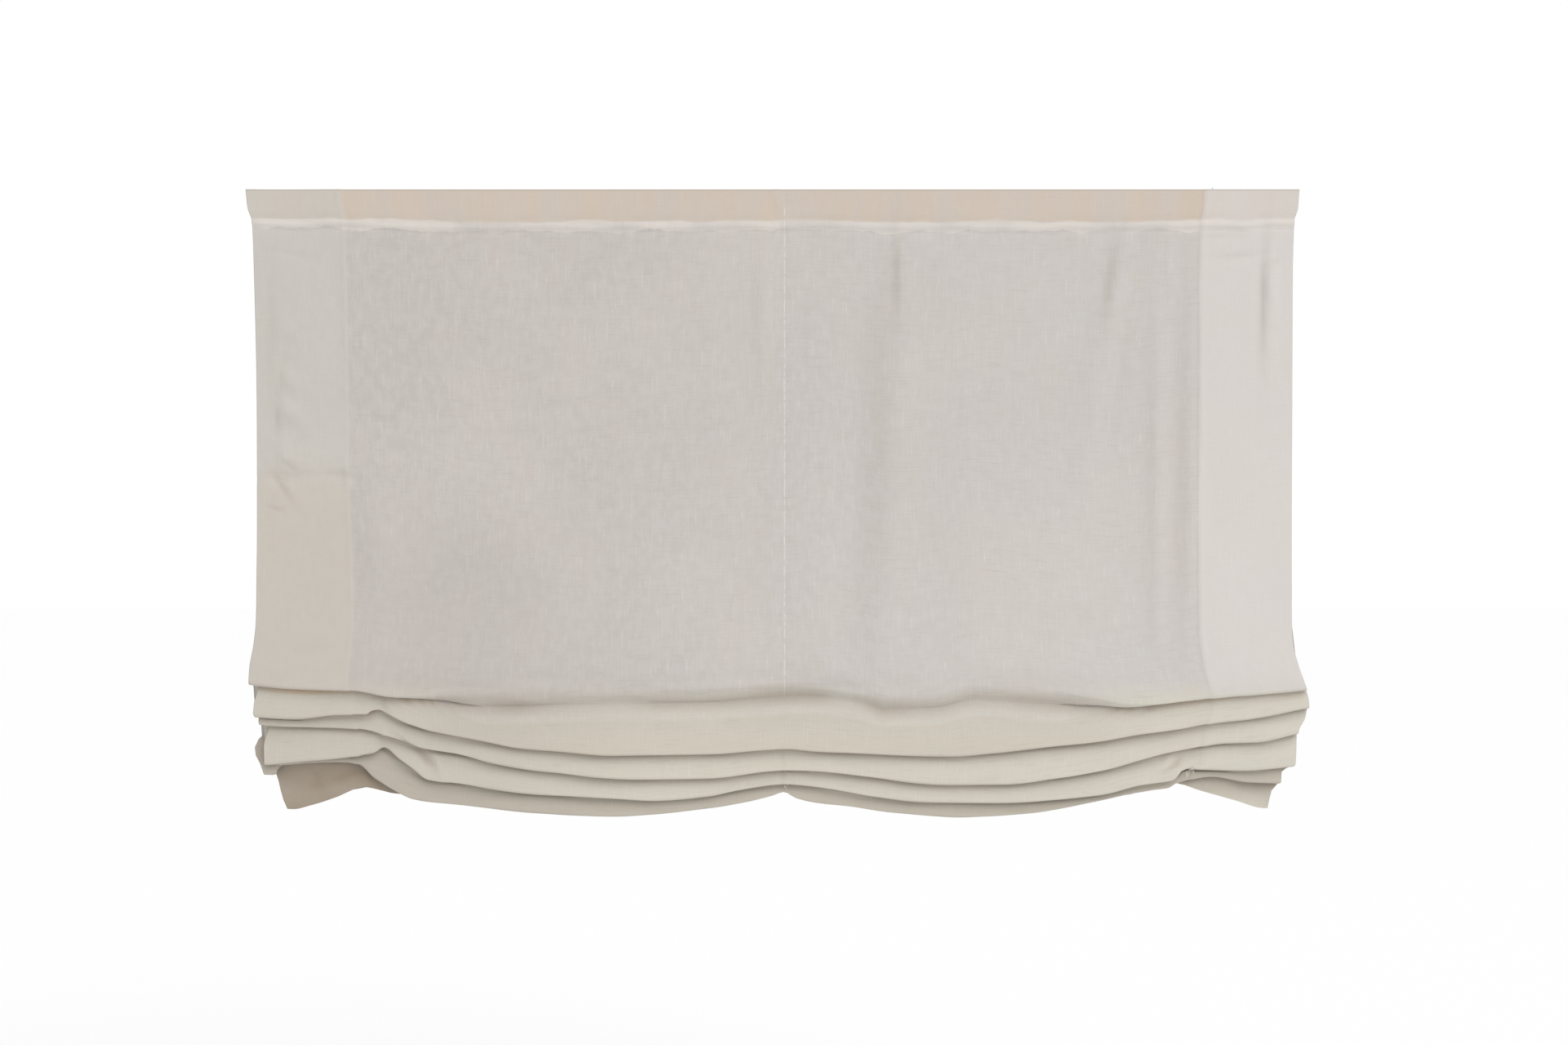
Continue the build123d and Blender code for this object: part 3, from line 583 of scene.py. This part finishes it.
# Colours laid over each other: colour, most share, and what the share is multiplied by. Each factor is a
# value on the cloth by name, with the two values it runs between and the two shares it gives there (0 and 1
# if none are given). Lengths are metres down the cloth and across from its middle.
linenLayers = (
    ("#B8B3AE", 1.0, (("mottle", 0.3, 0.7),)),
    ("#C3BFBD", 0.55, (("across", -0.45, 0.5),)),                       # painted light: lighter to the right, the side the window light comes from
    ("#C2BCB4", 0.3, (("broad", 0.4, 0.7),)),
    ("#BFB5AE", 0.2, (("patch", 0.45, 0.7),)),
    ("#C5C0B2", 0.85, (("stack",),)),                                   # many layers let no light through
    ("#CFCBC4", 0.14, (("warp", 0.5, 0.75),)),
    ("#A39E96", 0.15, (("weft", 0.5, 0.75),)),
    ("#DAD7D1", 0.16, (("slub", 0.64, 0.74),)),
    ("#989085", 0.14, (("slubAcross", 0.66, 0.76),)),
    ("#A59E98", 1.0, (("down", 0.3, 0.45), ("across", -0.1, -0.4, 0.0, 0.3))),
    ("hem", 1.0, (("inHem",), ("stack", 0.0, 1.0, 0.6, 0.12))),
    # the head lath shows warm through the single cloth of the heading
    ("lath", 1.0, (("down", 0.0385, 0.0345), ("inHem", 0.0, 1.0, 1.0, 0.3),
                   ("lathPatch", 0.3, 0.7, 0.58, 0.78))),
    # the raw turning's wavy edges
    ("#CFC9C2", 1.0, (("wavyTop", 0.0283, 0.0313), ("wavy", 0.0405, 0.0385),
                      ("turningPatch", 0.35, 0.6, 0.25, 0.7))),
    ("#94887A", 1.0, (("down", 0.0025, 0.0005, 0.0, 0.35),)),           # painted shade: darker in a thin line along the top fold
    # pale stitching down the middle, in broken dashes
    ("#E6E4DE", 0.28, (("lineAway", 0.0011, 0.0004), ("dash", 0.42, 0.55, 0.25, 1.0), ("down", 0.612, 0.608),
                       ("down", 0.018, 0.024))),
    ("#7C6A55", 0.6, (("crease",),)),                                   # warm dark shade between the layers
    ("#C9A57C", 0.8, (("glow",),)),
)
# the hems: a little pinker low down, and painted light that makes them lighter to the right, the side the
# window light comes from
hemLayers = (("#BBB4A9", 1.0, (("down", 0.3, 0.38),)), ("#CDC8C3", 1.0, (("across", -0.5, 0.5),)))
lathLayers = (("#C3B3A2", 1.0, (("grain", 0.3, 0.7),)),)


def multiplied(tree, values, share, factors):
    # the share times each factor, which is a value as it is or run smoothly between two of its values
    for source, *span in factors:
        factor = values[source]
        if span:
            low, high, start, end = (*span, 0.0, 1.0)[:4]
            factor = addNode(tree, "ShaderNodeMapRange", {"interpolation_type": "SMOOTHSTEP"}, Value=factor,
                             From_Min=low, From_Max=high, To_Min=start, To_Max=end)
        share = addNode(tree, "ShaderNodeMath", {"operation": "MULTIPLY"}, i0=share, i1=factor)
    return share


def layColors(tree, values, first, layers):
    # lays each colour over those before it, by its share; a colour is hex or the name of a value
    color = linearColor(first)
    for over, share, factors in layers:
        over = linearColor(over) if over[0] == "#" else values[over]
        color = addNode(tree, "ShaderNodeMix", {"data_type": "RGBA"}, 2, i6=color, i7=over,
                        i0=multiplied(tree, values, share, factors))
    return color


def linenMaterial():
    # undyed linen, plain woven: matt, slubbed, a little light comes through a single layer
    material, tree, shader = newMaterial("undyedLinenPlainWeave")
    uv = addNode(tree, "ShaderNodeUVMap", {"uv_map": "flatCloth"})
    values = {name: addNode(tree, "ShaderNodeAttribute", {"attribute_name": name}, "Fac")
              for name in ("crease", "glow", "stack")}
    values["across"] = addNode(tree, "ShaderNodeSeparateXYZ", out="X", Vector=uv)
    values["down"] = addNode(tree, "ShaderNodeSeparateXYZ", out="Y", Vector=uv)
    for name, (across, along, detail) in linenNoises.items():
        place = addNode(tree, "ShaderNodeMapping", Vector=uv, Scale=(across, along, 1.0))
        values[name] = addNode(tree, "ShaderNodeTexNoise", {"noise_dimensions": "2D"}, Vector=place,
                               Scale=1.0, Detail=detail)
    for name, noise, reach in (("wavy", "turning", -0.014), ("wavyTop", "turningTop", -0.011)):
        values[name] = addNode(tree, "ShaderNodeMath", {"operation": "MULTIPLY_ADD"}, i0=values[noise],
                               i1=reach, i2=values["down"])
    fromLine = addNode(tree, "ShaderNodeMath", {"operation": "SUBTRACT"}, i0=values["across"], i1=0.0135)
    values["lineAway"] = addNode(tree, "ShaderNodeMath", {"operation": "ABSOLUTE"}, i0=fromLine)
    # the hems, of which the left one grows a little wider towards the folds
    hemEdge = (cloth["halfWidth"] - cloth["hemWidth"]) * mm
    begins, ends = (place * mm for place in cloth["leftHemGrows"])
    wider = multiplied(tree, values, 1.0, (("down", begins, ends),
                                           ("across", 0.1, -0.1, 0.0, cloth["leftHemGrowth"] * mm)))
    fromMiddle = addNode(tree, "ShaderNodeMath", {"operation": "ABSOLUTE"}, i0=values["across"])
    values["outward"] = addNode(tree, "ShaderNodeMath", {"operation": "ADD"}, i0=fromMiddle, i1=wider)
    values["inHem"] = multiplied(tree, values, 1.0, (("outward", hemEdge - 0.001, hemEdge + 0.001),))
    values["hem"] = layColors(tree, values, "#BCB8B0", hemLayers)
    values["lath"] = layColors(tree, values, "#C0B3A6", lathLayers)
    height = addNode(tree, "ShaderNodeMath", {"operation": "ADD"}, i0=values["warp"], i1=values["weft"])
    height = addNode(tree, "ShaderNodeMath", {"operation": "ADD"}, i0=height, i1=values["slub"])
    feed(tree, shader, Base_Color=layColors(tree, values, "#B4AEA9", linenLayers), Roughness=0.9,
         Sheen_Weight=0.12, Sheen_Roughness=0.5, Specular_IOR_Level=0.2,
         Normal=addNode(tree, "ShaderNodeBump", Height=height, Strength=0.2, Distance=0.0005))
    return material


print("cloth")
sheetGrid, sheetAttributes = clothSurface()
sheetPiece = gridMesh("linen_sheet", *sheetGrid, sheetAttributes)
sheetPiece.data.materials.append(linenMaterial())
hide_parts("linen_panel")
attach(sheetPiece, "blind")


# The hardware keeps the frame's own pieces, which get their materials here
hardware = {
    "grainWidth": 0.004,        # pine growth rings, metres
    "threadWidth": 0.0012,      # cord braid
    "cloudsPerMetre": 90.0,     # mottling of the zinc plating
    "pilePerMetre": 1500.0,     # tape pile
}


def planedPine():
    # planed softwood, unfinished: grain runs along the lath, with darker late wood and a dull surface
    material, tree, shader = newMaterial("planedPine")
    place = addNode(tree, "ShaderNodeTexCoord", out="Object")
    pith = addNode(tree, "ShaderNodeMapping", Vector=place, Location=(0, 0.012, 0.075), Scale=(0.06, 1, 1))
    rings = addNode(tree, "ShaderNodeTexWave", {"wave_type": "RINGS", "rings_direction": "X"}, "Fac",
                    Vector=pith, Scale=0.314 / hardware["grainWidth"], Distortion=2.2, Detail=2.0,
                    Detail_Scale=0.5)
    late = addNode(tree, "ShaderNodeMapRange", Value=rings, From_Min=0.35, From_Max=1.0)
    color = addNode(tree, "ShaderNodeMix", {"data_type": "RGBA"}, 2, i0=late, i6=linearColor("#D8BF97"),
                    i7=linearColor("#B98F5E"))
    alongFibre = addNode(tree, "ShaderNodeMapping", Vector=place, Scale=(18, 1900, 1900))
    fibre = addNode(tree, "ShaderNodeTexNoise", Vector=alongFibre, Scale=1.0, Detail=2.0)
    feed(tree, shader, Base_Color=color, Roughness=0.7,
         Normal=addNode(tree, "ShaderNodeBump", Height=fibre, Strength=0.25, Distance=0.0003))
    return material


def zincPlatedSteel():
    # bent or turned steel with bright zinc plating: cool grey, slightly cloudy
    material, tree, shader = newMaterial("zincPlatedSteel")
    place = addNode(tree, "ShaderNodeTexCoord", out="Object")
    cloud = addNode(tree, "ShaderNodeTexNoise", Vector=place, Scale=hardware["cloudsPerMetre"], Detail=3.0)
    bright = addNode(tree, "ShaderNodeMapRange", Value=cloud, From_Min=0.35, From_Max=0.65)
    color = addNode(tree, "ShaderNodeMix", {"data_type": "RGBA"}, 2, i0=bright, i6=linearColor("#AFB4B8"),
                    i7=linearColor("#C6CACC"))
    feed(tree, shader, Base_Color=color, Metallic=1.0,
         Roughness=addNode(tree, "ShaderNodeMapRange", Value=cloud, From_Min=0.3, From_Max=0.7, To_Min=0.3,
                           To_Max=0.42))
    return material


def wovenNylonTape():
    # sewn or stapled nylon tape: dense fine pile
    material, tree, shader = newMaterial("wovenNylonTape")
    place = addNode(tree, "ShaderNodeTexCoord", out="Object")
    pile = addNode(tree, "ShaderNodeTexNoise", Vector=place, Scale=hardware["pilePerMetre"], Detail=2.0)
    # painted light and shade: the pile lighter on its tips and darker between them
    paintedPileShading = addNode(tree, "ShaderNodeMapRange", Value=pile, From_Min=0.35, From_Max=0.65)
    color = addNode(tree, "ShaderNodeMix", {"data_type": "RGBA"}, 2, i0=paintedPileShading, i6=linearColor("#CFCCC4"),
                    i7=linearColor("#ECEAE4"))
    feed(tree, shader, Base_Color=color, Roughness=0.85, Sheen_Weight=0.2,
         Normal=addNode(tree, "ShaderNodeBump", Height=pile, Strength=0.8, Distance=0.0006))
    return material


def mouldedPlastic(name, color, roughness):
    # moulded nylon or acetal: milky white, satin to glossy, no visible grain
    material, tree, shader = newMaterial(name)
    feed(tree, shader, Base_Color=linearColor(color), Roughness=roughness, IOR=1.53)
    return material


def braidedPolyesterCord():
    # braided polyester: the strands cross at a slant, which gives a fine herringbone
    material, tree, shader = newMaterial("braidedPolyesterCord")
    place = addNode(tree, "ShaderNodeTexCoord", out="Object")
    s = 1 / hardware["threadWidth"]
    strands = []
    for slant in (0.7, -0.7):
        turned = addNode(tree, "ShaderNodeMapping", Vector=place, Rotation=(0, slant, 0), Scale=(s, s, s))
        strands.append(addNode(tree, "ShaderNodeTexWave", {"bands_direction": "Z"}, "Fac", Vector=turned,
                               Scale=0.6, Distortion=0.4))
    braid = addNode(tree, "ShaderNodeMath", {"operation": "MAXIMUM"}, i0=strands[0], i1=strands[1])
    # painted shade: the cord's colour darkens into the grooves between the strands
    color = addNode(tree, "ShaderNodeMix", {"data_type": "RGBA"}, 2, i0=braid, i6=linearColor("#BDB8AC"),
                    i7=linearColor("#EFECE4"))
    feed(tree, shader, Base_Color=color, Roughness=0.75,
         Normal=addNode(tree, "ShaderNodeBump", Height=braid, Strength=0.6, Distance=0.0003))
    return material


def machinedBrass():
    # machined brass: warm yellow with fine turning marks, satin
    material, tree, shader = newMaterial("machinedBrass")
    place = addNode(tree, "ShaderNodeTexCoord", out="Object")
    acrossMarks = addNode(tree, "ShaderNodeMapping", Vector=place, Scale=(40, 2500, 2500))
    marks = addNode(tree, "ShaderNodeTexNoise", Vector=acrossMarks, Scale=1.0, Detail=1.0)
    feed(tree, shader, Base_Color=linearColor("#C9A75A"), Metallic=1.0,
         Roughness=addNode(tree, "ShaderNodeMapRange", Value=marks, From_Min=0.3, From_Max=0.7, To_Min=0.24,
                           To_Max=0.38))
    return material


def finishHardware():
    # gives each CAD node the material of its real counterpart, by the start of its name
    steel, tape = zincPlatedSteel(), wovenNylonTape()
    finishes = {
        "lath": planedPine(), "hook_tape": tape, "loop_tape": tape, "lift_cord": braidedPolyesterCord(),
        "ring_": mouldedPlastic("mouldedNylonRing", "#E9E7E0", 0.3), "lock_cam": machinedBrass(),
        "guide_roller": mouldedPlastic("mouldedAcetal", "#E4E2DA", 0.42),
    }
    for name, piece in nodes.items():
        finish = next((finishes[start] for start in finishes if name.startswith(start)), steel)
        piece.data.materials.clear()
        piece.data.materials.append(finish)


print("hardware")
finishHardware()


# Sewing thread, in millimetres
threads = {
    "wraps": 3,                 # turns of thread round each ring
    "wrapPoints": 13,
    "wrapRadius": 1.75,
    "wrapPitch": 0.75,
    "ringDepth": 1.0,           # from the ring's front to the middle of its wire
    "threadRadius": 0.28,
    "endRadius": 0.2,
    "sides": 6,
    "color": "#E2DED4",
    # loose ends where the cloth gathers: x, z, y and how many
    "tufts": ((17.0, -647.5, -66.5, 5), (14.5, -662.5, -62.0, 6), (474.0, -645.0, -68.0, 9),
              (468.5, -650.0, -66.0, 6)),
}


def tubeMesh(paths, radius, sides):
    # tubes swept along paths: a ring of points round each path point, square to the path's direction
    points, quads, offset = [], [], 0
    angle = np.linspace(0, 2 * np.pi, sides, endpoint=False)[None, :, None]
    for path in paths:
        along = np.gradient(path, axis=0)
        along /= np.linalg.norm(along, axis=1, keepdims=True) + 1e-12
        helper = np.where(np.abs(along[:, :1]) > 0.9, np.array([[0.0, 0, 1]]), np.array([[1.0, 0, 0]]))
        side = np.cross(along, helper)
        side /= np.linalg.norm(side, axis=1, keepdims=True)
        other = np.cross(along, side)
        ring = path[:, None] + radius * (np.cos(angle) * side[:, None] + np.sin(angle) * other[:, None])
        count = len(path)
        index = offset + np.arange(count * sides).reshape(count, sides)
        after = np.roll(index, -1, axis=1)
        points.append(ring.reshape(-1, 3))
        quads += np.stack((index[:-1], after[:-1], after[1:], index[1:]), -1).reshape(-1, 4).tolist()
        quads += [index[0, ::-1].tolist(), index[-1].tolist()]
        offset += count * sides
    return np.concatenate(points), quads


def threadPiece(name, paths, radius, material):
    # one dressing piece of smooth tubes, which moves with the blind
    points, faces = tubeMesh(paths, radius, threads["sides"])
    mesh = bpy.data.meshes.new(name)
    mesh.from_pydata((points * mm).tolist(), [], faces)
    mesh.polygons.foreach_set("use_smooth", np.ones(len(faces), bool))
    mesh.update()
    mesh.materials.append(material)
    piece = bpy.data.objects.new(name, mesh)
    scene.collection.objects.link(piece)
    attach(piece, "blind")


def ringThreads():
    # a few loops of thread round each ring's front wire, which hold it to the cloth
    turn = np.linspace(0, 2 * np.pi, threads["wrapPoints"])
    paths = []
    for name in nodes:
        if not name.startswith("ring_"):
            continue
        low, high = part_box(name)
        x, y, z = (low[0] + high[0]) / 2 / mm, low[1] / mm + threads["ringDepth"], (low[2] + high[2]) / 2 / mm
        for wrap in range(threads["wraps"]):
            shift = (wrap - (threads["wraps"] - 1) / 2) * threads["wrapPitch"]
            paths.append(np.stack((x + shift + 0 * turn, y + threads["wrapRadius"] * np.cos(turn),
                                   z + threads["wrapRadius"] * np.sin(turn)), -1))
    return paths


def tuftPaths():
    # short loose thread ends that stand out of the stitching where the cloth gathers
    rng = np.random.default_rng(41)
    t = np.linspace(0, 1, 6)
    paths = []
    for x, z, y, count in threads["tufts"]:
        for _ in range(count):
            reach = rng.uniform(2.0, 5.0)
            heading = rng.uniform(0, 2 * np.pi)
            curl = rng.uniform(-1.2, 1.2)
            startX = x + rng.uniform(-2, 2)
            startZ = z + rng.uniform(-1.5, 1.5)
            paths.append(np.stack((startX + reach * t * np.cos(heading) + curl * t * t,
                                   y - 1.6 * np.sin(np.pi * t),
                                   startZ + reach * t * np.sin(heading) - curl * t * t), -1))
    return paths


def cottonThread():
    # spun cotton sewing thread: matt, off-white
    material, tree, shader = newMaterial("cottonSewingThread")
    feed(tree, shader, Base_Color=linearColor(threads["color"]), Roughness=0.85)
    return material


print("threads")
cotton = cottonThread()
threadPiece("ring_threads", ringThreads(), threads["threadRadius"], cotton)
threadPiece("gather_threads", tuftPaths(), threads["endRadius"], cotton)


# The stage, in metres and degrees
stage = {
    "floorZ": -1.45,
    "floorSize": 30.0,
    "floorColor": "#FEFEFE",
    "ambient": 0.68,            # light from the surroundings, which look white
    "sunStrength": 1.62,
    "sunTurn": 26,
    "sunHeight": 41,
    "sunAngle": 50,             # as wide as a large window
}
view = {
    "distance": 3.0,            # in front of the hanging cloth
    "x": 0.013,
    "z": -0.3655,
    "pixelsPerMm": 1 / 0.9302,
    "frameWidth": 1920,
    "sensor": 36.0,
}


def paintedFloor():
    # pale matt paint on a flat floor, far below the blind
    s, z = stage["floorSize"], stage["floorZ"]
    mesh = bpy.data.meshes.new("floor")
    mesh.from_pydata([(-s, -s, z), (s, -s, z), (s, s, z), (-s, s, z)], [], [(0, 1, 2, 3)])
    floor = bpy.data.objects.new("floor", mesh)
    scene.collection.objects.link(floor)
    material, tree, shader = newMaterial("paintedFloor")
    feed(tree, shader, Base_Color=linearColor(stage["floorColor"]), Roughness=0.9)
    mesh.materials.append(material)


def studioLight():
    # white surroundings that light the blind less than they look, and a wide soft sun from the upper right
    world = bpy.data.worlds.new("studioWorld")
    world.use_nodes = True
    tree = world.node_tree
    seen = addNode(tree, "ShaderNodeLightPath", out="Is Camera Ray")
    feed(tree, tree.nodes["Background"], Color=(1, 1, 1, 1),
         Strength=addNode(tree, "ShaderNodeMapRange", Value=seen, To_Min=stage["ambient"], To_Max=1.0))
    scene.world = world
    light = bpy.data.lights.new("softSun", "SUN")
    light.energy = stage["sunStrength"]
    light.angle = math.radians(stage["sunAngle"])
    lamp = bpy.data.objects.new("softSun", light)
    lamp.rotation_euler = (math.radians(90 - stage["sunHeight"]), 0, math.radians(stage["sunTurn"]))
    scene.collection.objects.link(lamp)
    scene.view_settings.view_transform = "Standard"


def photoCamera():
    # level and straight on; the lens follows from the picture's scale
    data = bpy.data.cameras.new("photoCamera")
    data.sensor_width = view["sensor"]
    data.lens = view["pixelsPerMm"] * view["distance"] * 1000 * view["sensor"] / view["frameWidth"]
    data.clip_end = 60
    camera = bpy.data.objects.new("photoCamera", data)
    camera.location = (view["x"], cloth["frontY"] * mm - view["distance"], view["z"])
    camera.rotation_euler = (math.pi / 2, 0, 0)
    scene.collection.objects.link(camera)
    scene.camera = camera


print("studio")
paintedFloor()
studioLight()
photoCamera()
